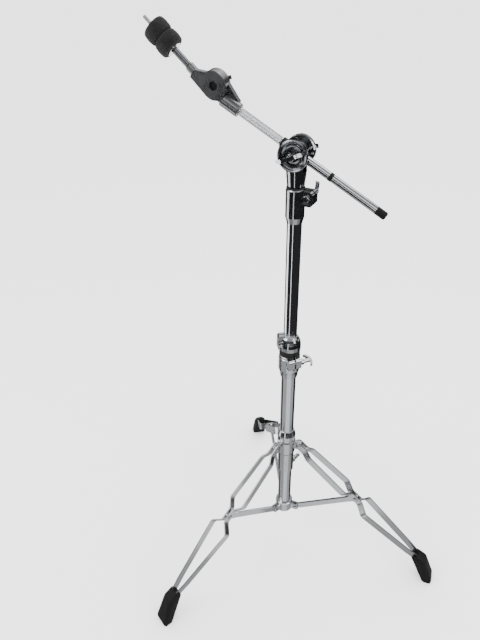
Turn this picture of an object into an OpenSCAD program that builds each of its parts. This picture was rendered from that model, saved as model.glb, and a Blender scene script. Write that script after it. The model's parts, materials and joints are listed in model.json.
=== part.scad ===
// Cymbal boom stand: double-braced tripod, two telescoping tubes, tilting boom and cymbal tilter.
// Units are millimetres, +Z is up and the origin is on the tube axis at floor level.

/* [Tubes] */
// Outer diameter of the base tube
base_tube_d = 28.6; // [27:0.1:30]
// Outer diameter of the middle tube
middle_tube_d = 25.4; // [24:0.1:25.6]
// Outer diameter of the boom post
post_d = 19; // [17:0.1:20]
// Wall thickness of the tubes
tube_wall = 1.2; // [1:0.1:1.4]
// Height of the top of the base tube
base_tube_top = 520; // [516:1:524]
// Height of the lower end of the middle tube
middle_tube_low = 250; // [150:1:340]
// Height of the top of the middle tube
middle_tube_top = 826; // [822:1:830]

/* [Tripod] */
// Height of the leg hinges on the sliding collar
hinge_z = 312; // [305:1:320]
// Distance of the leg and brace pins from the tube axis
pin_r = 28.7; // [28:0.1:30]
// Height of the brace pins on the lower collar
brace_z = 107.5; // [100:0.5:112]
// Distance from a leg's hinge to its knee
knee_s = 176; // [170:1:180]
// Angle of the legs below the horizontal
leg_slope = 41.3; // [40:0.1:43]
// Turn of the first leg away from the plane of the boom
tripod_turn = 3; // [0:1:10]
// Depth of the flat strips
strip_h = 15; // [12:1:18]
// Thickness of the flat strips
strip_t = 2.5; // [2:0.1:3]
// Distance of the feet from the tube axis
foot_r = 341; // [335:1:345]

/* [Boom] */
// Height of the boom tilt axis
boom_z = 926.5; // [920:0.5:940]
// Tilt of the boom above the horizontal
boom_tilt = 29.5; // [10:0.5:50]
// Diameter of the boom rod
rod_d = 12.7; // [12:0.1:13]
// Length of the rod from the tilt axis to its lower end
rod_low = 164; // [120:1:200]
// Diameter of the boom tilter
joint_d = 47.5; // [44:0.5:50]

/* [Cymbal tilter] */
// Distance from the boom tilt axis to the cymbal tilter
tilter_x = 157; // [150:1:180]
// Offset of the tilter pivot from the rod axes
tilter_e = 12.5; // [10:0.5:14]
// Roll of the boom rod about its own axis
boom_roll = -9; // [-40:1:40]
// Tilt of the cymbal rod from the boom
cymbal_tilt = 14; // [0:1:40]
// Diameter of the cymbal rod
cymbal_rod_d = 6; // [5.5:0.5:8]
// Diameter of the felts
felt_d = 40; // [36:1:44]
// Thickness of one felt
felt_t = 22; // [16:1:24]

/* [Hidden] */

$fn = 64;
eps = 0.01;
// Radial clearance of a shaft that turns in its hole
run_gap = 0.05;
// Gap between faces that slide past each other
side_gap = 0.3;

chrome = [0.78, 0.79, 0.81];
dark_chrome = [0.32, 0.33, 0.35];
black = [0.06, 0.06, 0.06];
nylon = [0.12, 0.12, 0.13];

knee_x = pin_r + knee_s * cos(leg_slope);
knee_z = hinge_z - knee_s * sin(leg_slope);
brace_l = norm([knee_x - pin_r, knee_z - brace_z]);
brace_slope = atan2(knee_z - brace_z, knee_x - pin_r);
pin_d = 6;
brace_t = 5;
lug_t = 8;
// Lateral places of the strips' middle planes where they meet a lug and a brace
strip_at_hinge = lug_t / 2 + side_gap + strip_t / 2;
strip_at_knee = brace_t / 2 + side_gap + strip_t / 2;
// Distance along a leg from its hinge to where it enters the foot
boot_s = 369;
strip_end = 391;
// The strip's middle line: distance from the hinge and lateral offset
strip_path = [[-9, strip_at_hinge], [20, strip_at_hinge], [34, 14], [knee_s - 34, 18.5],
    [knee_s - 17, strip_at_knee], [knee_s + 13, strip_at_knee], [knee_s + 31, 24],
    [boot_s - 26, 10.5], [boot_s - 4, 7], [strip_end, 7]];

collar_r = 19;
skirt_r = 17;
skirt_low = hinge_z - 82;
collar_low = hinge_z - 28;
collar_high = hinge_z + 38;
low_collar_bottom = brace_z - 12;
low_collar_top = brace_z + 15;

liner_wall = 3.2;
low_clamp_bottom = 498;
low_clamp_top = 550;
low_clamp_r = 20.5;
low_bolt_z = 538.5;
low_bolt_r = 20.5;
low_ear_out = 27;
low_clamp_turn = -44;
low_ear_w = 12.5;
low_flange_top = low_clamp_top + 12.5;
lock_bottom = low_flange_top + 0.4;
lock_top = 594;
lock_r = 20.8;
lock_turn = -150;
lock_ear_out = 24;
lock_ear_w = 7;
lock_bolt_d = 5;
lock_bolt_at = [(lock_ear_out + middle_tube_d / 2) / 2 + 0.3, 0, lock_bottom + 15];
up_clamp_bottom = 816;
up_clamp_top = 872;
up_clamp_r = 15.8;
up_bolt_z = 860.5;
up_bolt_r = 22.5;
up_ear_out = 33;
up_clamp_turn = -5;
clamp_slit = 3;
nut_bore = 12;
bolt_d = 6;

fork_gap = 17.6;
cheek_t = 4.4;
cheek_out = fork_gap / 2 + cheek_t;
yoke_floor = boom_z - 26;
yoke_bottom = up_clamp_top + 4;
drum_depth = 8.5;
dish_depth = 9;
stud_d = 8;

socket_d = 21;
arm_t = 7.5;
arm_r = 21.5;
head_d = 14;
head_sink = 4;
rod_stop = -22.5;
rod_socket_d = 14;
shank_d = 7;
ferrule_d = 10.4;
ferrule_from = 48;
felts_from = 79.5;
felt_gap = 0.4;
washer_t = 1.4;
sleeve_top = felts_from + 2 * felt_t + 1.6;
cymbal_rod_top = 141.5;

// ---- helpers ----

// A bar of a given thickness that follows the middle line pts, as an outline
function side(a, b) = let (d = b - a) [-d.y, d.x] / norm(d);
function join_at(pts, i) =
    let (n = len(pts) - 1,
        p = side(pts[max(i - 1, 0)], pts[max(i, 1)]),
        q = side(pts[min(i, n - 1)], pts[min(i + 1, n)]),
        m = p + q)
    m / (m * m) * 2;
// Corners of the middle line replaced by short curves
function soften(pts, r) = [for (i = [0 : len(pts) - 1])
    each (i == 0 || i == len(pts) - 1) ? [pts[i]] :
        let (a = pts[i] + r * (pts[i - 1] - pts[i]) / norm(pts[i - 1] - pts[i]),
            b = pts[i] + r * (pts[i + 1] - pts[i]) / norm(pts[i + 1] - pts[i]))
        [for (t = [0 : 0.25 : 1]) (1 - t) * (1 - t) * a + 2 * t * (1 - t) * pts[i] + t * t * b]];

module bar(pts, t) {
    n = len(pts) - 1;
    near = [for (i = [0 : n]) pts[i] - join_at(pts, i) * t / 2];
    far = [for (i = [n : -1 : 0]) pts[i] + join_at(pts, i) * t / 2];
    polygon(concat(near, far));
}

module tube(d, wall, low, high) {
    translate([0, 0, low])
    difference() {
        cylinder(d = d, h = high - low);
        translate([0, 0, -eps])
            cylinder(d = d - 2 * wall, h = high - low + 2 * eps);
    }
}

// A round solid about Z with softened rims
module turned(r, low, high, c = 1) {
    rotate_extrude()
        polygon([[0, low], [r - c, low], [r, low + c], [r, high - c], [r - c, high], [0, high]]);
}

module at_leg(i) {
    rotate([0, 0, tripod_turn + 120 * i])
        children();
}

// Leg frame: X runs down the leg from its hinge, Y is sideways
module along_leg(i) {
    at_leg(i)
    translate([pin_r, 0, hinge_z])
    rotate([0, leg_slope, 0])
        children();
}

// A cylinder along Y, centred
module cross_pin(d, l) {
    rotate([90, 0, 0])
        cylinder(d = d, h = l, center = true);
}

// The two domed heads of a rivet along Y, outside a width of w
module rivet_heads(d, w) {
    for (s = [-1, 1])
        rotate([s * 90, 0, 0])
        translate([0, 0, w / 2])
        rotate_extrude()
            polygon([[0, 0], [d * 0.9, 0], [d * 0.85, 1], [d * 0.55, 2], [0, 2.3]]);
}

module rivet(d, w) {
    cross_pin(d, w);
    rivet_heads(d, w);
}

// Boom frame: X runs up the boom from the tilt axis, Y points to the front
module in_boom() {
    translate([0, 0, boom_z])
    rotate([0, 0, 180])
    rotate([0, -boom_tilt, 0])
        children();
}

module in_tilter() {
    in_boom()
    rotate([boom_roll, 0, 0])
    translate([tilter_x, 0, tilter_e])
        children();
}

module in_upper_arm() {
    in_tilter()
    rotate([0, -cymbal_tilt, 0])
        children();
}

// Round stem along Z from 0, with a bar across its end that curves back
module curved_handle(span, out, bend_r) {
    bar_h = 4.5;
    bar_w = 5.5;
    cylinder(r = 4.2, h = out - 1);
    rotate([90, 0, 0])
    linear_extrude(bar_w, center = true)
    intersection() {
        translate([0, out - bend_r])
        difference() {
            circle(r = bend_r);
            translate([0, -bar_h])
                circle(r = bend_r);
        }
        translate([-span / 2, out - bend_r])
            square([span, 2 * bend_r]);
    }
}

// Wing nut: its foot is at 0 and its blind bore opens there
module wing_nut(span, out, hub_r, hub_h, bore) {
    difference() {
        union() {
            turned(hub_r, 0, hub_h, 1);
            curved_handle(span, out, 0.78 * span);
        }
        translate([0, 0, -1])
            cylinder(d = bore, h = nut_bore + 1);
    }
}

// ---- base tube and lower collar ----

module base_tube() {
    color(chrome)
        tube(base_tube_d, tube_wall, low_collar_bottom + 2, base_tube_top);
}

module base_tube_plug() {
    inner = base_tube_d / 2 - tube_wall;
    color(black)
    rotate_extrude()
        polygon([[0, low_collar_bottom - 3], [base_tube_d / 2 - 1, low_collar_bottom - 3],
            [base_tube_d / 2, low_collar_bottom - 2], [base_tube_d / 2, low_collar_bottom + 2],
            [inner, low_collar_bottom + 2], [inner, low_collar_bottom + 14],
            [inner - 2, low_collar_bottom + 14], [inner - 2, low_collar_bottom + 4],
            [0, low_collar_bottom + 4]]);
}

// Two ears either side of a brace end, ear_in from the middle plane
module ears(i, z, ear_in, ear_t, ear_r) {
    at_leg(i)
    for (s = [-1, 1])
        translate([0, s * (ear_in + ear_t / 2), z])
        union() {
            translate([pin_r, 0, 0])
                cross_pin(2 * ear_r, ear_t);
            translate([base_tube_d / 2 + 0.5, -ear_t / 2, -ear_r])
                cube([pin_r - base_tube_d / 2 - 0.5, ear_t, 2 * ear_r]);
        }
}

module lower_collar() {
    color(chrome)
    difference() {
        union() {
            rotate_extrude()
                polygon([[base_tube_d / 2, low_collar_bottom], [collar_r - 1.5, low_collar_bottom],
                    [collar_r, low_collar_bottom + 1.5], [collar_r, low_collar_top - 1.5],
                    [collar_r - 1.5, low_collar_top], [base_tube_d / 2, low_collar_top]]);
            for (i = [0 : 2])
                ears(i, brace_z, brace_t / 2 + side_gap, 3.2, 7);
        }
        for (i = [0 : 2])
            at_leg(i)
            translate([pin_r, 0, brace_z])
                cross_pin(pin_d, 30);
        cylinder(d = base_tube_d, h = hinge_z);
    }
}

module lower_collar_pins() {
    color(chrome)
    for (i = [0 : 2])
        at_leg(i)
        translate([pin_r, 0, brace_z])
            rivet(pin_d, brace_t + 2 * side_gap + 6.4);
}

// A brace lies from its pin on the lower collar up to the knee of its leg
module brace(i) {
    eye_r = 6.6;
    knee_eye_r = 8;
    color(chrome)
    at_leg(i)
    translate([pin_r, 0, brace_z])
    rotate([0, -brace_slope, 0])
    rotate([90, 0, 0])
    linear_extrude(brace_t, center = true)
    difference() {
        union() {
            circle(r = eye_r);
            translate([brace_l, 0])
                circle(r = knee_eye_r);
            polygon([[0, -eye_r], [brace_l - 26, -6.2], [brace_l, -knee_eye_r],
                [brace_l, knee_eye_r], [brace_l - 26, 6.2], [0, eye_r]]);
        }
        circle(d = pin_d + 2 * run_gap);
        translate([brace_l, 0])
            circle(d = pin_d);
    }
}

// Middle length of a knee rivet, inside the eye of the brace
module knee_pin(i) {
    color(chrome)
    along_leg(i)
    translate([knee_s, 0, 0])
        cross_pin(pin_d, brace_t);
}

module right_brace() { brace(0); }
module back_brace() { brace(1); }
module left_brace() { brace(2); }

module right_knee_pin() { knee_pin(0); }
module back_knee_pin() { knee_pin(1); }
module left_knee_pin() { knee_pin(2); }

// ---- legs ----

// One strip of a leg, s is the side it lies on
module leg_strip(i, s) {
    pts = [for (p = soften(strip_path, 4)) [p.x, s * p.y]];
    color(chrome)
    along_leg(i)
    difference() {
        translate([0, 0, -strip_h / 2])
        linear_extrude(strip_h)
            bar(pts, strip_t);
        cross_pin(pin_d + 2 * run_gap, 40);
        translate([knee_s, 0, 0])
            cross_pin(pin_d, 40);
        // Round end about the hinge
        difference() {
            translate([-20, -20, -20])
                cube([20, 40, 40]);
            cross_pin(17.6, 50);
        }
    }
}

module right_leg_strip_1() { leg_strip(0, -1); }
module right_leg_strip_2() { leg_strip(0, 1); }
module back_leg_strip_1() { leg_strip(1, -1); }
module back_leg_strip_2() { leg_strip(1, 1); }
module left_leg_strip_1() { leg_strip(2, -1); }
module left_leg_strip_2() { leg_strip(2, 1); }

// Ends of a knee rivet, set in the two strips
module knee_rivet(i) {
    color(chrome)
    along_leg(i)
    translate([knee_s, 0, 0]) {
        rivet_heads(pin_d, brace_t + 2 * side_gap + 2 * strip_t);
        for (s = [-1, 1])
            translate([0, s * strip_at_knee, 0])
                cross_pin(pin_d, strip_t);
    }
}

module right_knee_rivet() { knee_rivet(0); }
module back_knee_rivet() { knee_rivet(1); }
module left_knee_rivet() { knee_rivet(2); }

// Rubber foot on the end of a leg, flat on the floor
module foot(i) {
    sole_r = 5;
    color(black)
    difference() {
        hull() {
            along_leg(i) {
                translate([boot_s, 0, 0])
                    boot_ring(14, 10.5);
                translate([boot_s + 19, 0, 1.5])
                    boot_ring(16, 12);
            }
            at_leg(i)
            for (s = [-1, 1], q = [-1, 1])
                translate([foot_r + q * 5, s * 12, 0]) {
                    cylinder(r = sole_r - 1.5, h = 8, $fn = 24);
                    translate([0, 0, 1.5])
                        cylinder(r = sole_r, h = 8, $fn = 24);
                }
        }
        leg_strip(i, -1);
        leg_strip(i, 1);
    }
}

// Flat oval across a leg, wide sideways
module boot_ring(half_w, half_h) {
    for (s = [-1, 1])
        translate([0, s * (half_w - half_h), 0])
        rotate([0, 90, 0])
            cylinder(r = half_h, h = 2, $fn = 32);
}

module right_foot() { foot(0); }
module back_foot() { foot(1); }
module left_foot() { foot(2); }

// ---- sliding collar ----

wing_bolt_turn = 60;
wing_bolt_z = hinge_z - 70;

module tripod_collar() {
    color(chrome)
    difference() {
        union() {
            rotate_extrude()
                polygon([[base_tube_d / 2 - 2, skirt_low], [skirt_r - 1, skirt_low],
                    [skirt_r, skirt_low + 1], [skirt_r, collar_low],
                    [collar_r, collar_low + 5], [collar_r, hinge_z + 8],
                    [collar_r - 1.5, hinge_z + 11], [collar_r - 1.5, hinge_z + 16],
                    [collar_r, hinge_z + 18], [collar_r, collar_high - 12],
                    [collar_r - 3.5, collar_high], [base_tube_d / 2 - 2, collar_high]]);
            for (i = [0 : 2])
                at_leg(i) {
                    translate([pin_r, 0, hinge_z])
                        cross_pin(15, lug_t);
                    translate([base_tube_d / 2 + 0.5, -lug_t / 2, hinge_z - 12])
                        cube([pin_r - base_tube_d / 2 - 4, lug_t, 19.5]);
                }
            at_leg(0)
            rotate([0, 0, wing_bolt_turn])
            translate([14.5, 0, wing_bolt_z])
            rotate([0, 90, 0])
                turned(8, 0, 9.5, 1);
        }
        for (i = [0 : 2])
            at_leg(i)
            translate([pin_r, 0, hinge_z])
                cross_pin(pin_d, 30);
        at_leg(0)
        rotate([0, 0, wing_bolt_turn])
        translate([10, 0, wing_bolt_z])
        rotate([0, 90, 0])
            cylinder(d = 6 + 2 * run_gap, h = 30);
        translate([0, 0, skirt_low - 1])
            cylinder(d = base_tube_d + 2 * run_gap, h = 130);
    }
}

module collar_pins() {
    color(chrome)
    for (i = [0 : 2])
        at_leg(i)
        translate([pin_r, 0, hinge_z])
            rivet(pin_d, lug_t + 4 * side_gap + 2 * strip_t);
}

module collar_wing_bolt() {
    color(chrome)
    at_leg(0)
    rotate([0, 0, wing_bolt_turn])
    translate([base_tube_d / 2 + 0.1, 0, wing_bolt_z])
    rotate([0, 90, 0])
    rotate([0, 0, 20]) {
        cylinder(d = 6, h = 14);
        translate([0, 0, 13])
            curved_handle(31, 13, 24);
    }
}

// ---- clamps ----

// Ear block of a clamp that points along X, with its outer corners rounded
module clamp_ears(low, high, reach, half_w) {
    corner = 5;
    rotate([90, 0, 0])
    linear_extrude(2 * half_w, center = true)
    union() {
        translate([0, low])
            square([reach - corner, high - low]);
        translate([0, low + corner])
            square([reach, high - low - 2 * corner]);
        for (z = [low + corner, high - corner])
            translate([reach - corner, z])
                circle(r = corner);
    }
}

module lower_clamp() {
    color(chrome)
    difference() {
        union() {
            rotate_extrude()
                polygon([[base_tube_d / 2 - 2, low_clamp_bottom],
                    [base_tube_d / 2 + 2.5, low_clamp_bottom],
                    [low_clamp_r - 2, low_clamp_bottom + 11],
                    [low_clamp_r, low_clamp_bottom + 18], [low_clamp_r, low_clamp_top - 6],
                    [low_clamp_r - 0.8, low_clamp_top - 5], [low_clamp_r - 0.8, low_clamp_top - 1],
                    [low_clamp_r - 1.8, low_clamp_top], [base_tube_d / 2 - 2, low_clamp_top]]);
            rotate([0, 0, low_clamp_turn])
                clamp_ears(low_bolt_z - 12, low_bolt_z + 11, low_ear_out, low_ear_w);
        }
        translate([0, 0, low_clamp_bottom - 1])
            cylinder(d = base_tube_d, h = 80);
        translate([0, 0, base_tube_top])
            cylinder(r = middle_tube_d / 2 + liner_wall + 2 * run_gap, h = 60);
        rotate([0, 0, low_clamp_turn]) {
            translate([0, -clamp_slit / 2, low_bolt_z - 17])
                cube([60, clamp_slit, 60]);
            translate([low_bolt_r, 0, low_bolt_z])
                cross_pin(bolt_d + 2 * run_gap, 60);
            // Flat under the wing nut
            translate([low_bolt_r, low_ear_w, low_bolt_z])
            rotate([-90, 0, 0])
                cylinder(r = 6.8, h = 20);
            // Square recess for the bolt head
            translate([low_bolt_r, -low_ear_w, low_bolt_z])
                cube([10, 7, 10], center = true);
        }
    }
}

module lower_liner() {
    color(nylon)
    difference() {
        rotate_extrude()
            polygon([[middle_tube_d / 2 + run_gap, base_tube_top + 0.4],
                [middle_tube_d / 2 + liner_wall + run_gap, base_tube_top + 0.4],
                [middle_tube_d / 2 + liner_wall + run_gap, low_clamp_top + 0.3],
                [low_clamp_r - 0.8, low_clamp_top + 0.3], [low_clamp_r - 0.8, low_flange_top - 1],
                [low_clamp_r - 1.8, low_flange_top], [middle_tube_d / 2 + 1.5, low_flange_top],
                [middle_tube_d / 2 + run_gap, low_flange_top - 1.5]]);
        rotate([0, 0, low_clamp_turn])
        translate([0, -1, base_tube_top - 1])
            cube([40, 2, 60]);
    }
}

module lower_clamp_bolt() {
    head_t = 5;
    color(chrome)
    rotate([0, 0, low_clamp_turn])
    translate([low_bolt_r, 0, low_bolt_z]) {
        translate([0, -low_ear_w + 3.5, 0])
        rotate([-90, 0, 0])
            cylinder(d = bolt_d, h = 2 * low_ear_w + 8);
        translate([0, -low_ear_w + 3.5 - head_t / 2, 0])
            cube([9.8, head_t, 9.8], center = true);
    }
}

module lower_wing_nut() {
    color(chrome)
    rotate([0, 0, low_clamp_turn])
    translate([low_bolt_r, low_ear_w + side_gap, low_bolt_z])
    rotate([-90, 0, 0])
        wing_nut(31, 23, 6, 7, bolt_d + 2 * run_gap);
}

module middle_tube() {
    color(chrome)
        tube(middle_tube_d, tube_wall, middle_tube_low, middle_tube_top);
}

// Split ring on the middle tube that rests on the lower clamp
module memory_lock() {
    high = lock_top - lock_bottom;
    color(dark_chrome)
    difference() {
        union() {
            rotate_extrude()
                polygon([[middle_tube_d / 2 - 2, lock_bottom], [lock_r - 1, lock_bottom],
                    [lock_r, lock_bottom + 1], [lock_r, lock_bottom + 9],
                    [lock_r - 0.7, lock_bottom + 15], [lock_r - 2.4, lock_bottom + 21],
                    [lock_r - 4.6, lock_bottom + 25], [middle_tube_d / 2 + 0.8, lock_bottom + 28],
                    [middle_tube_d / 2 - 2, lock_bottom + 28]]);
            rotate([0, 0, lock_turn])
                clamp_ears(lock_bottom, lock_bottom + high, lock_ear_out, lock_ear_w);
        }
        translate([0, 0, lock_bottom - 1])
            cylinder(d = middle_tube_d, h = 60);
        rotate([0, 0, lock_turn]) {
            translate([0, -1, lock_bottom - 1])
                cube([60, 2, 60]);
            translate(lock_bolt_at)
                cross_pin(lock_bolt_d, 60);
            // Flats under the bolt's head and nut
            for (s = [-1, 1])
                translate(lock_bolt_at + [0, s * (lock_ear_w + 10), 0])
                    cross_pin(10.5, 20);
        }
    }
}

module memory_lock_bolt() {
    head_h = 3;
    color(chrome)
    rotate([0, 0, lock_turn])
    translate(lock_bolt_at) {
        cross_pin(lock_bolt_d, 2 * lock_ear_w);
        translate([0, lock_ear_w, 0])
        rotate([-90, 0, 0])
            turned(4.4, 0, head_h, 0.8);
        translate([0, lock_ear_w + head_h - 0.5, 0])
        rotate([-90, 0, 0])
            cylinder(d = 7, h = 4, $fn = 4);
    }
}

module upper_clamp() {
    half_w = 10.5;
    color(chrome)
    difference() {
        union() {
            rotate_extrude()
                polygon([[middle_tube_d / 2 - 2, up_clamp_bottom],
                    [middle_tube_d / 2 + 0.6, up_clamp_bottom],
                    [up_clamp_r, up_clamp_bottom + 10], [up_clamp_r, up_clamp_top - 1.5],
                    [up_clamp_r - 1, up_clamp_top], [middle_tube_d / 2 - 2, up_clamp_top]]);
            rotate([0, 0, up_clamp_turn])
                clamp_ears(up_bolt_z - 12, up_clamp_top - 0.5, up_ear_out, half_w);
        }
        translate([0, 0, up_clamp_bottom - 1])
            cylinder(d = middle_tube_d, h = middle_tube_top - up_clamp_bottom + 1);
        translate([0, 0, middle_tube_top - eps])
            cylinder(r = middle_tube_d / 2 + run_gap, h = 60);
        rotate([0, 0, up_clamp_turn]) {
            translate([0, -clamp_slit / 2, up_bolt_z - 20])
                cube([60, clamp_slit, 40]);
            translate([up_bolt_r, 0, up_bolt_z])
                cross_pin(bolt_d + 2 * run_gap, 60);
            // Square recess that frames the bolt head
            translate([up_bolt_r, -half_w, up_bolt_z])
                cube([17, 3, 17], center = true);
        }
    }
}

module upper_liner() {
    color(nylon)
    difference() {
        rotate_extrude()
            polygon([[post_d / 2 + run_gap, middle_tube_top + 0.4],
                [middle_tube_d / 2, middle_tube_top + 0.4],
                [middle_tube_d / 2, up_clamp_top + 0.3],
                [up_clamp_r - 1, up_clamp_top + 0.3], [up_clamp_r - 1, up_clamp_top + 2],
                [up_clamp_r - 2, up_clamp_top + 3], [post_d / 2 + 1.5, up_clamp_top + 3],
                [post_d / 2 + run_gap, up_clamp_top + 1.5]]);
        rotate([0, 0, up_clamp_turn])
        translate([0, -1, middle_tube_top - 1])
            cube([40, 2, 60]);
    }
}

module upper_clamp_bolt() {
    color(chrome)
    rotate([0, 0, up_clamp_turn])
    translate([up_bolt_r, -10.5 + 1.5, up_bolt_z]) {
        rotate([-90, 0, 0])
            cylinder(d = bolt_d, h = 28);
        rotate([90, 0, 0])
            turned(5.5, 0, 4, 1);
    }
}

module upper_wing_nut() {
    color(chrome)
    rotate([0, 0, up_clamp_turn])
    translate([up_bolt_r, 10.5 + side_gap, up_bolt_z])
    rotate([-90, 0, 0])
    rotate([0, 0, -78])
        wing_nut(38, 21, 6.2, 8, bolt_d + 2 * run_gap);
}

// ---- boom post and tilter ----

module boom_post() {
    color(chrome)
        tube(post_d, 1.5, 690, yoke_bottom + 14);
}

// Cast neck with two cheeks that carry the dish and the drum
module boom_yoke() {
    neck_low = 14.2;
    neck_high = 16.6;
    color(dark_chrome)
    difference() {
        union() {
            rotate_extrude()
                polygon([[0, yoke_bottom], [neck_low - 1, yoke_bottom], [neck_low, yoke_bottom + 1],
                    [neck_high, boom_z - 26], [neck_high, boom_z - 12], [0, boom_z - 12]]);
            for (s = [-1, 1])
                translate([0, s * (fork_gap / 2 + cheek_t / 2), boom_z])
                    cross_pin(2 * 19, cheek_t);
        }
        translate([-40, -fork_gap / 2, yoke_floor])
            cube([80, fork_gap, 80]);
        // The neck stays below the dish and the drum
        for (s = [-1, 1])
            translate([-40, s > 0 ? cheek_out : -cheek_out - 20, boom_z - joint_d / 2 - 0.6])
                cube([80, 20, 80]);
        translate([0, 0, yoke_bottom - 1])
            cylinder(d = post_d, h = 15);
        translate([0, 0, boom_z])
            cross_pin(stud_d + 2 * run_gap, 80);
    }
}

// Dished washer with stepped rings, in front of the front cheek
module front_dish() {
    r = joint_d / 2;
    color(dark_chrome)
    translate([0, -cheek_out, boom_z])
    rotate([90, 0, 0])
    rotate_extrude()
        polygon([[stud_d / 2 + run_gap, 0], [r - 6, 0], [r - 1, 3], [r, 5], [r, dish_depth],
            [r - 1.5, dish_depth + 0.8], [r - 3, dish_depth], [r - 3.6, 6.4], [r - 6, 5],
            [r - 8.5, 4.4], [r - 9, 5.4], [r - 10.5, 5.6], [r - 11.5, 3.6], [r - 14, 3.2],
            [stud_d / 2 + 3, 3.2], [stud_d / 2 + run_gap, 3.2]]);
}

// Round housing with turned grooves, behind the rear cheek
module ratchet_drum() {
    r = joint_d / 2;
    grooves = 3;
    pitch = 2;
    color(dark_chrome)
    translate([0, cheek_out, boom_z])
    rotate([-90, 0, 0])
    difference() {
        turned(r, 0, drum_depth, 1.6);
        translate([0, 0, -1])
            cylinder(d = stud_d + 2 * run_gap, h = drum_depth + 2);
        for (k = [1 : grooves])
            translate([0, 0, 0.3 + k * pitch])
            rotate_extrude()
                polygon([[r - 0.6, 0], [r + 1, -0.9], [r + 1, 0.9]]);
    }
}

// Drum between the cheeks that holds the boom rod
module boom_clamp() {
    color(dark_chrome)
    in_boom()
    difference() {
        cross_pin(34, fork_gap - 2 * side_gap);
        rotate([0, 90, 0])
            cylinder(d = rod_d + 3.2, h = 60, center = true);
        cross_pin(6 + 2 * run_gap, 60);
    }
}

module boom_bushing() {
    wall = 1.55;
    color(nylon)
    in_boom()
    rotate([0, 90, 0])
    difference() {
        union() {
            translate([0, 0, -18])
                cylinder(d = rod_d + 2 * wall, h = 38);
            translate([0, 0, 20])
                turned(rod_d / 2 + 2.1, 0, 8, 0.8);
        }
        translate([0, 0, -20])
            cylinder(d = rod_d + 2 * run_gap, h = 60);
    }
}

// Stud fixed in the clamp drum that runs back through the yoke and the ratchet drum
module tilt_stud() {
    color(chrome)
    translate([0, fork_gap / 2 - side_gap, boom_z])
    rotate([-90, 0, 0])
        cylinder(d = stud_d, h = cheek_t + drum_depth + 2 * side_gap + nut_bore - 1);
}

module rear_wing_nut() {
    color(chrome)
    translate([0, cheek_out + drum_depth + side_gap, boom_z])
    rotate([-90, 0, 0])
    rotate([0, 0, -10])
        wing_nut(48, 18, 8, nut_bore + 1, stud_d + 2 * run_gap);
}

module front_wing_bolt() {
    color(chrome)
    translate([0, -cheek_out - 3.5, boom_z])
    rotate([90, 0, 0])
    rotate([0, 0, 22]) {
        translate([0, 0, -cheek_t - 4])
            cylinder(d = 6, h = 14);
        turned(5.6, 0, 13, 1);
        curved_handle(50, 18, 50);
    }
}

// ---- boom rod and cymbal tilter ----

module boom_rod() {
    ring_at = -63;
    color(chrome)
    in_boom()
    rotate([0, 90, 0])
    difference() {
        translate([0, 0, -rod_low + 3])
            cylinder(d = rod_d, h = rod_low - 3 + tilter_x + rod_stop);
        // Shallow groove for the stop ring
        translate([0, 0, ring_at - 3])
        difference() {
            cylinder(d = rod_d + 2, h = 6);
            cylinder(d = rod_d - 1.6, h = 6);
        }
        // Step for the end cap
        translate([0, 0, -rod_low])
        difference() {
            cylinder(d = rod_d + 2, h = 18);
            cylinder(d = rod_d - 2, h = 18);
        }
    }
}

module boom_ring() {
    color(black)
    in_boom()
    rotate([0, 90, 0])
    translate([0, 0, -66])
    rotate_extrude()
        polygon([[rod_d / 2 - 0.8, 0], [rod_d / 2, 0], [rod_d / 2 + 0.35, 1], [rod_d / 2 + 0.35, 5],
            [rod_d / 2, 6], [rod_d / 2 - 0.8, 6]]);
}

module boom_end_cap() {
    color(black)
    in_boom()
    rotate([0, 90, 0])
    translate([0, 0, -rod_low])
    rotate_extrude()
        polygon([[0, 0], [rod_d / 2 - 2, 0], [rod_d / 2 - 0.4, 1.2], [rod_d / 2, 3],
            [rod_d / 2, 18], [rod_d / 2 - 1, 18], [rod_d / 2 - 1, 3], [0, 3]]);
}

// Arm outline in the tilter plane: a round boss drawn out to a socket on the rod axis
module arm_outline(x, half) {
    difference() {
        union() {
            circle(r = arm_r);
            polygon([[0, arm_r], [x, -tilter_e + half], [x, -tilter_e - half], [0, -arm_r]]);
        }
        translate([-60, -60 - arm_r])
            square([120, 60]);
    }
}

module tilter_lower_arm() {
    inner_end = -18;
    outer_end = -50;
    color(dark_chrome)
    in_tilter()
    difference() {
        union() {
            // Toothed boss behind the pivot plane
            translate([0, -side_gap / 2, 0])
            rotate([90, 0, 0])
            linear_extrude(arm_t)
                arm_outline(-44, socket_d / 2);
            translate([outer_end, 0, -tilter_e])
            rotate([0, 90, 0])
                turned(socket_d / 2, 0, inner_end - outer_end, 1);
        }
        translate([outer_end - 1, 0, -tilter_e])
        rotate([0, 90, 0])
            cylinder(d = rod_d, h = rod_stop - outer_end + 1);
        cross_pin(bolt_d + 2 * run_gap, 60);
        // Room for the other arm to swing
        translate([0, 20, 0])
            cross_pin(2 * arm_r + 2, 40 - side_gap);
    }
}

module tilter_upper_arm() {
    inner_end = 23;
    outer_end = 48;
    color(dark_chrome)
    in_upper_arm()
    difference() {
        union() {
            // Flat face in front of the pivot plane
            translate([0, arm_t + side_gap / 2, 0])
            rotate([90, 0, 0])
            linear_extrude(arm_t)
                arm_outline(36, rod_socket_d / 2);
            translate([inner_end, 0, -tilter_e])
            rotate([0, 90, 0])
                turned(rod_socket_d / 2, 0, outer_end - inner_end, 0.8);
        }
        translate([inner_end + 4, 0, -tilter_e])
        rotate([0, 90, 0])
            cylinder(d = shank_d, h = 40);
        cross_pin(bolt_d + 2 * run_gap, 60);
        // Six-sided recess for the bolt head
        translate([0, arm_t - head_sink, 0])
        rotate([-90, 0, 0])
            cylinder(d = head_d + 0.6, h = 5, $fn = 6);
        // Room for the other arm to swing
        translate([0, -20, 0])
            cross_pin(2 * arm_r + 2, 40 - side_gap);
    }
}

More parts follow.
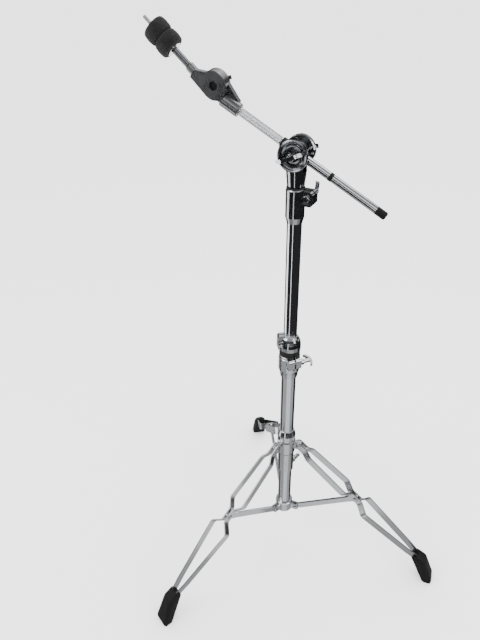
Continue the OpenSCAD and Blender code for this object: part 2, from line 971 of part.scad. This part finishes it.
module tilter_bolt() {
    color(chrome)
    in_upper_arm() {
        rotate([90, 0, 0])
        translate([0, 0, -arm_t + head_sink])
            cylinder(d = bolt_d, h = 2 * arm_t + 7);
        translate([0, arm_t - head_sink, 0])
        rotate([-90, 0, 0])
            cylinder(d = head_d, h = 2.2, $fn = 6);
    }
}

module tilter_wing_nut() {
    color(chrome)
    in_tilter()
    translate([0, -arm_t - 2 * side_gap, 0])
    rotate([90, 0, 0])
    rotate([0, 0, -50])
        wing_nut(36, 18, 7, 8, bolt_d + 2 * run_gap);
}

module on_cymbal_rod(s) {
    in_upper_arm()
    translate([s, 0, -tilter_e])
    rotate([0, 90, 0])
        children();
}

module cymbal_rod() {
    color(chrome)
    on_cymbal_rod(27) {
        cylinder(d = shank_d, h = sleeve_top - 27);
        turned(cymbal_rod_d / 2, 0, cymbal_rod_top - 27, 0.8);
    }
}

module rod_ferrule() {
    color(dark_chrome)
    on_cymbal_rod(ferrule_from)
    difference() {
        turned(ferrule_d / 2, 0, felts_from - ferrule_from - felt_gap - washer_t, 0.6);
        translate([0, 0, -1])
            cylinder(d = shank_d, h = 60);
    }
}

module seat_washer() {
    color(chrome)
    on_cymbal_rod(felts_from - felt_gap - washer_t)
    difference() {
        turned(12, 0, washer_t, 0.4);
        translate([0, 0, -1])
            cylinder(d = shank_d, h = 10);
    }
}

module felt_sleeve() {
    color(nylon)
    on_cymbal_rod(felts_from - felt_gap)
    difference() {
        cylinder(d = 9.4, h = sleeve_top - felts_from + felt_gap);
        translate([0, 0, -1])
            cylinder(d = shank_d, h = 60);
    }
}

module felt(from) {
    round_r = 4;
    color(black)
    on_cymbal_rod(from)
    difference() {
        rotate_extrude()
            polygon([[0, 0], [felt_d / 2 - round_r, 0], [felt_d / 2 - 1.2, 1.2],
                [felt_d / 2, round_r], [felt_d / 2, felt_t - round_r],
                [felt_d / 2 - 1.2, felt_t - 1.2], [felt_d / 2 - round_r, felt_t], [0, felt_t]]);
        translate([0, 0, -1])
            cylinder(d = 10, h = felt_t + 2);
    }
}

module lower_felt() { felt(felts_from); }
module upper_felt() { felt(felts_from + felt_t + felt_gap); }

base_tube();
base_tube_plug();
lower_collar();
lower_collar_pins();
right_brace();
back_brace();
left_brace();
right_knee_pin();
back_knee_pin();
left_knee_pin();
right_leg_strip_1();
right_leg_strip_2();
right_knee_rivet();
right_foot();
back_leg_strip_1();
back_leg_strip_2();
back_knee_rivet();
back_foot();
left_leg_strip_1();
left_leg_strip_2();
left_knee_rivet();
left_foot();
tripod_collar();
collar_pins();
collar_wing_bolt();
lower_clamp();
lower_liner();
lower_clamp_bolt();
lower_wing_nut();
middle_tube();
memory_lock();
memory_lock_bolt();
upper_clamp();
upper_liner();
upper_clamp_bolt();
upper_wing_nut();
boom_post();
boom_yoke();
front_dish();
ratchet_drum();
boom_clamp();
boom_bushing();
tilt_stud();
rear_wing_nut();
front_wing_bolt();
boom_rod();
boom_ring();
boom_end_cap();
tilter_lower_arm();
tilter_upper_arm();
tilter_bolt();
tilter_wing_nut();
cymbal_rod();
rod_ferrule();
seat_washer();
felt_sleeve();
lower_felt();
upper_felt();
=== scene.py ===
"""Looks for the cymbal boom stand: chrome and rubber finishes, felts, knurling, floor, light, camera."""
import json
import math

import bmesh
import bpy
from mathutils import Matrix, Vector, noise


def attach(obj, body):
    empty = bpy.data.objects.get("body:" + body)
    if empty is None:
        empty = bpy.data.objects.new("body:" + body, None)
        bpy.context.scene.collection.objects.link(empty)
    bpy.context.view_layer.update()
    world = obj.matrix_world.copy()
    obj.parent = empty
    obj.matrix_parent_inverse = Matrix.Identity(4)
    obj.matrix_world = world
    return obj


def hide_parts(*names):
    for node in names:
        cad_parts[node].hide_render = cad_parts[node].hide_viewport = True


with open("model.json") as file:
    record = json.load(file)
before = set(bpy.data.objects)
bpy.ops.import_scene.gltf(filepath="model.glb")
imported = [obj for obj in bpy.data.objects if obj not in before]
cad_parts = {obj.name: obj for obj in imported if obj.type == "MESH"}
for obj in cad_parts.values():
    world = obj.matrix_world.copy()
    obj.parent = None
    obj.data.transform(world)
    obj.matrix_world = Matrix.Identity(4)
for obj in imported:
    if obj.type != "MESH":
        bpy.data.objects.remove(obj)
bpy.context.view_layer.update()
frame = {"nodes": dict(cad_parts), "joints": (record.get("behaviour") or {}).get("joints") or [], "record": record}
nodes = frame["nodes"]
record = frame["record"]
joints = {j["name"]: j for j in frame["joints"]}
mounts = {m["name"]: m for m in record["mounts"]}
MM = 0.001

# ---- the boom's own axes, from the joints ----
rod_dir = Vector(joints["boom_slide"]["axis"])
cymbal_dir = Vector(joints["felt_lift"]["axis"])
tilt_centre = Vector(joints["boom_tilt"]["pos_m"])
tip = Vector(mounts["cymbal_rod"]["pos_m"])


# ---- materials ----

def new_material(name):
    """A node material, with its tree and its Principled shader."""
    mat = bpy.data.materials.new(name)
    mat.use_nodes = True
    tree = mat.node_tree
    bsdf = tree.nodes["Principled BSDF"]
    return mat, tree, bsdf


def add(tree, kind, **values):
    """A new node, with its properties or else its sockets set by name."""
    node = tree.nodes.new(kind)
    for key, value in values.items():
        if hasattr(node, key):
            setattr(node, key, value)
        else:
            node.inputs[key.replace("_", " ")].default_value = value
    return node


def link(tree, a, out, b, into):
    tree.links.new(a.outputs[out], b.inputs[into])


def ramp(tree, source, out, stops):
    node = tree.nodes.new("ShaderNodeValToRGB")
    elements = node.color_ramp.elements
    while len(elements) < len(stops):
        elements.new(0.5)
    for element, (place, colour) in zip(elements, stops):
        element.position = place
        element.color = (*colour, 1.0)
    link(tree, source, out, node, "Fac")
    return node


def grey(v):
    return (v, v, v)


def radius_about(node, origin, direction):
    """Largest distance of a CAD node's points from an axis."""
    return max((v.co - origin - direction * (v.co - origin).dot(direction)).length
               for v in nodes[node].data.vertices)


def chrome(name, tint, rough, marks=0.5, haze=0.0):
    """Plated metal with hairline scuffs and cloudy patches that are a little duller."""
    mat, tree, bsdf = new_material(name)
    bsdf.inputs["Metallic"].default_value = 1.0
    place = add(tree, "ShaderNodeTexCoord")
    cloud = add(tree, "ShaderNodeTexNoise", Scale=38.0, Detail=6.0, Roughness=0.62)
    link(tree, place, "Object", cloud, "Vector")
    hair = add(tree, "ShaderNodeTexNoise", Scale=420.0, Detail=3.0, Roughness=0.7)
    squeeze = add(tree, "ShaderNodeMapping")
    squeeze.inputs["Scale"].default_value = (1.0, 1.0, 0.08)
    link(tree, place, "Object", squeeze, "Vector")
    link(tree, squeeze, "Vector", hair, "Vector")
    tone = ramp(tree, cloud, "Fac", [(0.3, tuple(t * 0.93 for t in tint)), (0.65, tint)])
    link(tree, tone, "Color", bsdf, "Base Color")
    both = add(tree, "ShaderNodeMix", data_type="FLOAT")
    both.inputs["Factor"].default_value = 0.45
    link(tree, cloud, "Fac", both, "A")
    link(tree, hair, "Fac", both, "B")
    spread = add(tree, "ShaderNodeMapRange")
    spread.inputs["From Min"].default_value = 0.35
    spread.inputs["From Max"].default_value = 0.7
    spread.inputs["To Min"].default_value = rough
    spread.inputs["To Max"].default_value = rough + 0.09 * marks + haze
    link(tree, both, "Result", spread, "Value")
    link(tree, spread, "Result", bsdf, "Roughness")
    bump = add(tree, "ShaderNodeBump", Strength=0.05 * marks, Distance=0.0002)
    link(tree, hair, "Fac", bump, "Height")
    link(tree, bump, "Normal", bsdf, "Normal")
    return mat


def rubber(name, tone):
    """Moulded rubber or nylon: fine grain and dusty patches."""
    mat, tree, bsdf = new_material(name)
    place = add(tree, "ShaderNodeTexCoord")
    grain = add(tree, "ShaderNodeTexNoise", Scale=900.0, Detail=4.0, Roughness=0.6)
    link(tree, place, "Object", grain, "Vector")
    dust = add(tree, "ShaderNodeTexNoise", Scale=55.0, Detail=8.0, Roughness=0.7)
    link(tree, place, "Object", dust, "Vector")
    colour = ramp(tree, dust, "Fac", [(0.4, grey(tone)), (0.62, grey(tone * 1.6)),
                                      (0.8, grey(tone * 3.2))])
    link(tree, colour, "Color", bsdf, "Base Color")
    rough = ramp(tree, dust, "Fac", [(0.3, grey(0.48)), (0.75, grey(0.72))])
    link(tree, rough, "Color", bsdf, "Roughness")
    bsdf.inputs["Specular IOR Level"].default_value = 0.22
    bump = add(tree, "ShaderNodeBump", Strength=0.25, Distance=0.0003)
    link(tree, grain, "Fac", bump, "Height")
    link(tree, bump, "Normal", bsdf, "Normal")
    return mat


def felt_material(name):
    """Pressed wool felt: matted fibres in lighter and darker clumps."""
    mat, tree, bsdf = new_material(name)
    place = add(tree, "ShaderNodeTexCoord")
    fibre = add(tree, "ShaderNodeTexNoise", Scale=1100.0, Detail=8.0, Roughness=0.75, Distortion=1.4)
    link(tree, place, "Object", fibre, "Vector")
    clump = add(tree, "ShaderNodeTexNoise", Scale=190.0, Detail=6.0, Roughness=0.7, Distortion=0.6)
    link(tree, place, "Object", clump, "Vector")
    colour = ramp(tree, clump, "Fac", [(0.3, grey(0.001)), (0.55, grey(0.003)), (0.8, grey(0.012))])
    link(tree, colour, "Color", bsdf, "Base Color")
    bsdf.inputs["Roughness"].default_value = 0.95
    bsdf.inputs["Specular IOR Level"].default_value = 0.15
    bsdf.inputs["Sheen Weight"].default_value = 0.06
    bsdf.inputs["Sheen Roughness"].default_value = 0.6
    heights = add(tree, "ShaderNodeMath", operation="ADD")
    link(tree, fibre, "Fac", heights, 0)
    link(tree, clump, "Fac", heights, 1)
    bump = add(tree, "ShaderNodeBump", Strength=0.9, Distance=0.0012)
    link(tree, heights, "Value", bump, "Height")
    link(tree, bump, "Normal", bsdf, "Normal")
    return mat


CHROME = chrome("polished_chrome", (0.50, 0.51, 0.53), 0.05)
TUBE = chrome("tube_chrome", (0.62, 0.63, 0.66), 0.035, marks=0.4)
SATIN = chrome("strip_chrome", (0.56, 0.57, 0.59), 0.13, marks=1.0, haze=0.04)
CAST = chrome("cast_chrome", (0.34, 0.35, 0.365), 0.09, marks=0.9)
DARK = chrome("dark_chrome", (0.17, 0.175, 0.185), 0.13, marks=1.0)
PLATE = chrome("plate_chrome", (0.19, 0.193, 0.20), 0.24, marks=1.2)
BLACKENED = chrome("blackened_steel", (0.045, 0.045, 0.05), 0.3)
RUBBER = rubber("black_rubber", 0.0015)
NYLON = rubber("black_nylon", 0.005)
FELT = felt_material("black_felt")

# The knurled band of the boom rod, in metres; its places are measured from the boom's tilt centre.
KNURL_PITCH = 0.0016
KNURL_DEPTH = 0.00012
KNURL_START = 0.030
KNURL_END = 0.104


def knurled(mat, pitch, depth, low, high):
    """Adds crossed spiral grooves round the boom rod between two places along it."""
    tree = mat.node_tree
    across = rod_dir.orthogonal().normalized()
    other = rod_dir.cross(across)

    def maths(operation, *inputs):
        node = add(tree, "ShaderNodeMath", operation=operation)
        for k, value in enumerate(inputs):
            if isinstance(value, (int, float)):
                node.inputs[k].default_value = value
            else:
                tree.links.new(value, node.inputs[k])
        return node.outputs[0]

    place = add(tree, "ShaderNodeTexCoord")
    from_axis = add(tree, "ShaderNodeVectorMath", operation="SUBTRACT")
    link(tree, place, "Object", from_axis, 0)
    from_axis.inputs[1].default_value = tilt_centre

    def along(direction):
        node = add(tree, "ShaderNodeVectorMath", operation="DOT_PRODUCT")
        link(tree, from_axis, "Vector", node, 0)
        node.inputs[1].default_value = direction
        return node.outputs["Value"]

    length = along(rod_dir)
    radius = radius_about("boom_rod", tilt_centre, rod_dir)
    starts = round(2 * math.pi * radius / pitch)
    angle = maths("MULTIPLY", maths("ARCTAN2", along(across), along(other)), starts)
    twist = maths("MULTIPLY", length, 2 * math.pi / pitch)
    waves = maths("MULTIPLY", maths("SINE", maths("ADD", twist, angle)),
                  maths("SINE", maths("SUBTRACT", twist, angle)))
    inside = maths("MULTIPLY", maths("GREATER_THAN", length, low), maths("LESS_THAN", length, high))
    bsdf = tree.nodes["Principled BSDF"]
    bump = add(tree, "ShaderNodeBump", Strength=1.0, Distance=depth)
    tree.links.new(maths("MULTIPLY", waves, inside), bump.inputs["Height"])
    old = bsdf.inputs["Normal"].links[0].from_socket
    tree.links.new(old, bump.inputs["Normal"])
    tree.links.new(bump.outputs["Normal"], bsdf.inputs["Normal"])
    return mat


ROD = knurled(chrome("rod_chrome", (0.60, 0.61, 0.64), 0.05, marks=0.5),
              KNURL_PITCH, KNURL_DEPTH, KNURL_START, KNURL_END)

SLOT_FINISH = {"chrome": CHROME, "dark_chrome": DARK, "black_rubber": RUBBER,
               "black_nylon": NYLON, "black_felt": FELT}
NODE_FINISH = {
    "base_tube": TUBE, "middle_tube": TUBE, "boom_post": TUBE, "boom_rod": ROD,
    "lower_clamp": SATIN, "tripod_collar": SATIN, "lower_collar": SATIN,
    "upper_clamp": CAST, "boom_yoke": CAST, "ratchet_drum": CAST, "memory_lock": CAST,
    "tilter_bolt": BLACKENED, "tilter_lower_arm": PLATE, "tilter_upper_arm": PLATE,
}
slots = {sub["node"]: sub["material_slot"] for sub in record["subparts"]}


def finish_of(name):
    """A node's own finish, or else the one of its material slot."""
    if "leg_strip" in name or name.endswith("_brace"):
        return SATIN
    return NODE_FINISH.get(name) or SLOT_FINISH[slots[name]]


def dress(obj, mat):
    obj.data.materials.clear()
    obj.data.materials.append(mat)


EDGE_WIDTH = 0.5 * MM
EDGE_ANGLE = math.radians(32)
CASTINGS = ("lower_clamp", "upper_clamp", "memory_lock", "boom_yoke", "tilter_lower_arm",
            "tilter_upper_arm", "tripod_collar", "lower_collar")


def soften(obj):
    """Rounds the hard edges of a part as its casting or tumbling would."""
    bevel = obj.modifiers.new("edge", "BEVEL")
    bevel.width = EDGE_WIDTH
    bevel.segments = 2
    bevel.limit_method = "ANGLE"
    bevel.angle_limit = EDGE_ANGLE
    bevel.use_clamp_overlap = True
    bevel.harden_normals = True


for name, obj in nodes.items():
    dress(obj, finish_of(name))
for name in CASTINGS:
    soften(nodes[name])

# ---- felts ----

FELT_SIDES = 96
FELT_BORE_R = 5.2 * MM
FELT_EDGE_R = 4.2 * MM
FELT_FLAT_INSET = 0.3 * MM
FELT_BULGE = 0.7 * MM
# How far the wall starts inside the CAD felt, so the bulge and the fibres stay near its outline.
FELT_WALL_INSET = 1.2 * MM
FELT_ROWS = 8
FELT_EDGE_STEPS = 7
FIBRE_HEIGHT = 0.45 * MM
FIBRE_SIZE = 2.2 * MM
FIBRE_ROUGHNESS = 0.7
FIBRE_LACUNARITY = 2.2
FIBRE_OCTAVES = 5
FIRST_FIBRE_SEED = 3


def place_in_scene(name, data):
    obj = bpy.data.objects.new(name, data)
    bpy.context.scene.collection.objects.link(obj)
    return obj


def frame_at(origin, along):
    """A matrix whose Z runs along a direction."""
    turn = along.to_track_quat("Z", "Y").to_matrix().to_4x4()
    return Matrix.Translation(origin) @ turn


def span_along(node, origin, direction):
    """Lowest and highest distance of a CAD node along a direction from a point."""
    found = [(v.co - origin).dot(direction) for v in nodes[node].data.vertices]
    return min(found), max(found)


def ring_solid(name, profile, sides, place):
    """A closed ring made by turning (radius, height) points about Z."""
    mesh = bmesh.new()
    rows = []
    for radius, height in profile:
        rows.append([mesh.verts.new(place @ Vector((radius * math.cos(2 * math.pi * k / sides),
                                                    radius * math.sin(2 * math.pi * k / sides), height)))
                     for k in range(sides)])
    for i in range(len(rows)):
        low, high = rows[i], rows[(i + 1) % len(rows)]
        for k in range(sides):
            n = (k + 1) % sides
            mesh.faces.new((low[k], low[n], high[n], high[k]))
    bmesh.ops.recalc_face_normals(mesh, faces=mesh.faces)
    data = bpy.data.meshes.new(name)
    mesh.to_mesh(data)
    mesh.free()
    return place_in_scene(name, data)


def felt_piece(name, node):
    """A soft pressed felt ring, swollen a little between its flat faces."""
    low, high = span_along(node, tip, cymbal_dir)
    height = high - low
    wall_r = radius_about(node, tip, cymbal_dir) - FELT_WALL_INSET
    flat_r = wall_r - FELT_EDGE_R
    edge_turns = [math.pi / 2 * i / FELT_EDGE_STEPS for i in range(1, FELT_EDGE_STEPS)]
    profile = []
    for i in range(FELT_ROWS + 1):
        profile.append((FELT_BORE_R + (flat_r - FELT_BORE_R) * i / FELT_ROWS, FELT_FLAT_INSET))
    for turn in edge_turns:
        profile.append((flat_r + FELT_EDGE_R * math.sin(turn), FELT_EDGE_R - FELT_EDGE_R * math.cos(turn)))
    for i in range(FELT_ROWS + 1):
        share = i / FELT_ROWS
        swell = FELT_BULGE * math.sin(math.pi * share)
        profile.append((wall_r + swell, FELT_EDGE_R + (height - 2 * FELT_EDGE_R) * share))
    for turn in edge_turns:
        profile.append((flat_r + FELT_EDGE_R * math.cos(turn),
                        height - FELT_EDGE_R + FELT_EDGE_R * math.sin(turn)))
    for i in range(FELT_ROWS + 1):
        profile.append((flat_r - (flat_r - FELT_BORE_R) * i / FELT_ROWS, height - FELT_FLAT_INSET))
    for i in range(1, FELT_ROWS):
        profile.append((FELT_BORE_R, height - height * i / FELT_ROWS))
    piece = ring_solid(name, profile, FELT_SIDES, frame_at(tip + cymbal_dir * low, cymbal_dir))
    for poly in piece.data.polygons:
        poly.use_smooth = True
    dress(piece, FELT)
    return piece


def roughen(piece, seed):
    """Moves the surface in and out by seeded noise, so the felt's outline is uneven."""
    shift = Vector((seed * 3.1, seed * 1.7, seed * 2.3))
    data = piece.data
    data.update()
    moves = []
    for v in data.vertices:
        value = noise.fractal((v.co / FIBRE_SIZE) + shift, FIBRE_ROUGHNESS, FIBRE_LACUNARITY, FIBRE_OCTAVES)
        moves.append(v.co + v.normal * FIBRE_HEIGHT * value)
    for v, co in zip(data.vertices, moves):
        v.co = co


for k, (node, body) in enumerate((("lower_felt", "felt_below"), ("upper_felt", "felt_above"))):
    felt = felt_piece(node + "_pad", node)
    roughen(felt, FIRST_FIBRE_SEED + k)
    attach(felt, body)
    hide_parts(node)

# ---- floor, light and camera ----

FLOOR_SIZE = 120


def flat_material(name, colour, rough):
    """An even, matt colour with no gloss."""
    mat, _, bsdf = new_material(name)
    bsdf.inputs["Base Color"].default_value = (*colour, 1.0)
    bsdf.inputs["Roughness"].default_value = rough
    bsdf.inputs["Specular IOR Level"].default_value = 0.0
    return mat


bpy.ops.mesh.primitive_plane_add(size=FLOOR_SIZE, location=(0, 0, 0))
floor = bpy.context.object
floor.name = "floor"
dress(floor, flat_material("floor_paint", grey(0.93), 0.8))

# Black and grey studio cards lie on the floor round the stand. Only glossy rays see them.
CARD_BLACK = flat_material("card_black", grey(0.01), 0.9)
CARD_GREY = flat_material("card_grey", grey(0.17), 0.9)
CARD_PALE = flat_material("card_pale", grey(0.34), 0.9)
# Heading in degrees, on the floor, against the way the camera looks.
TO_CAMERA = -64.5
CARD_STEP = 5
# Heights of the cards where they lie over one another.
CARD_LOW = 0.001
CARD_MIDDLE = 0.0015
CARD_HIGH = 0.002
# Radii of the ring near the stand, and of the far edge of the ring round it.
NEAR_INNER = 0.10
NEAR_OUTER = 0.84
FAR_OUTER = 9.0


def card(name, inner, outer, first, last, level, mat):
    """A flat ring sector on the floor; its angles, in degrees, are measured from TO_CAMERA."""
    steps = max(2, round((last - first) / CARD_STEP))
    verts, faces = [], []
    for k in range(steps + 1):
        a = math.radians(TO_CAMERA + first + (last - first) * k / steps)
        for r in (inner, outer):
            verts.append((r * math.cos(a), r * math.sin(a), level))
    for k in range(steps):
        faces.append((2 * k, 2 * k + 1, 2 * k + 3, 2 * k + 2))
    data = bpy.data.meshes.new(name)
    data.from_pydata(verts, [], faces)
    obj = place_in_scene(name, data)
    dress(obj, mat)
    obj.visible_camera = False
    obj.visible_diffuse = False
    obj.visible_shadow = False
    obj.visible_transmission = False
    obj.visible_volume_scatter = False


card("far_card_left", NEAR_OUTER, FAR_OUTER, -82, -27, CARD_HIGH, CARD_BLACK)
card("far_card_middle", NEAR_OUTER, FAR_OUTER, -21, 150, CARD_HIGH, CARD_BLACK)
card("far_card_back", NEAR_OUTER, FAR_OUTER, -150, -112, CARD_HIGH, CARD_BLACK)
card("edge_card", NEAR_INNER, NEAR_OUTER, 84, 140, CARD_HIGH, CARD_BLACK)
card("near_card", 0.02, NEAR_OUTER, -180, 180, CARD_LOW, CARD_GREY)
card("light_card", 0.06, 0.80, -30, 34, CARD_MIDDLE, CARD_PALE)
card("left_edge_card", NEAR_INNER, NEAR_OUTER, -128, -96, CARD_HIGH, CARD_BLACK)

# The world is white for every ray but the glossy ones, which see a room that changes with height.
WORLD_STRENGTH = 3.0
# Sockets of a Mix node when it mixes colours; their names are shared with its other kinds.
MIX_FIRST = 6
MIX_SECOND = 7
MIX_RESULT = 2
world = bpy.data.worlds.new("studio")
bpy.context.scene.world = world
world.use_nodes = True
sky_tree = world.node_tree
sky = sky_tree.nodes["Background"]
sky.inputs["Strength"].default_value = WORLD_STRENGTH
rays = add(sky_tree, "ShaderNodeLightPath")
where = add(sky_tree, "ShaderNodeTexCoord")
split = add(sky_tree, "ShaderNodeSeparateXYZ")
link(sky_tree, where, "Generated", split, "Vector")
height = add(sky_tree, "ShaderNodeMapRange")
height.inputs["From Min"].default_value = -1.0
height.inputs["From Max"].default_value = 1.0
link(sky_tree, split, "Z", height, "Value")
room = ramp(sky_tree, height, "Result", [(0.50, grey(0.02)), (0.69, grey(0.03)), (0.73, grey(0.5)),
                                         (0.82, grey(0.62)), (0.88, grey(0.15)), (1.0, grey(0.07))])
choose = add(sky_tree, "ShaderNodeMix", data_type="RGBA")
link(sky_tree, rays, "Is Glossy Ray", choose, "Factor")
choose.inputs[MIX_FIRST].default_value = (1.0, 1.0, 1.0, 1.0)
sky_tree.links.new(room.outputs["Color"], choose.inputs[MIX_SECOND])
sky_tree.links.new(choose.outputs[MIX_RESULT], sky.inputs["Color"])


def panel(name, place, aim, width, height, power):
    """A soft rectangular light that faces a point."""
    data = bpy.data.lights.new(name, "AREA")
    data.shape = "RECTANGLE"
    data.size = width
    data.size_y = height
    data.energy = power
    lamp = place_in_scene(name, data)
    lamp.location = place
    lamp.rotation_euler = (Vector(aim) - Vector(place)).to_track_quat("-Z", "Y").to_euler()


panel("key_panel", (-1.6, -1.6, 2.4), (0, 0, 0.5), width=1.2, height=1.6, power=34)
panel("side_panel", (2.0, -0.6, 1.4), (0, 0, 0.6), width=0.7, height=1.6, power=14)
panel("top_panel", (0.3, 0.8, 2.6), (0, 0, 0.6), width=1.4, height=1.0, power=16)

camera_data = bpy.data.cameras.new("camera")
camera = place_in_scene("camera", camera_data)
CAMERA_PLACE = Vector((0.2570, -0.7531, 1.1579))
CAMERA_PITCH = math.radians(33.85)
CAMERA_YAW = math.radians(25.49)
CAMERA_ROLL = math.radians(1.57)
SENSOR_WIDTH = 36.0
FOCAL_LENGTH = 39.375
forward = Vector((-math.sin(CAMERA_YAW) * math.cos(CAMERA_PITCH),
                  math.cos(CAMERA_YAW) * math.cos(CAMERA_PITCH), -math.sin(CAMERA_PITCH)))
right = Vector((forward.y, -forward.x, 0)).normalized()
up = right.cross(forward)
cam_right = right * math.cos(CAMERA_ROLL) - up * math.sin(CAMERA_ROLL)
cam_up = right * math.sin(CAMERA_ROLL) + up * math.cos(CAMERA_ROLL)
turn = Matrix((cam_right, cam_up, -forward)).transposed().to_4x4()
camera.matrix_world = Matrix.Translation(CAMERA_PLACE) @ turn
camera_data.sensor_fit = "HORIZONTAL"
camera_data.sensor_width = SENSOR_WIDTH
camera_data.lens = FOCAL_LENGTH
bpy.context.scene.camera = camera

bpy.context.view_layer.update()
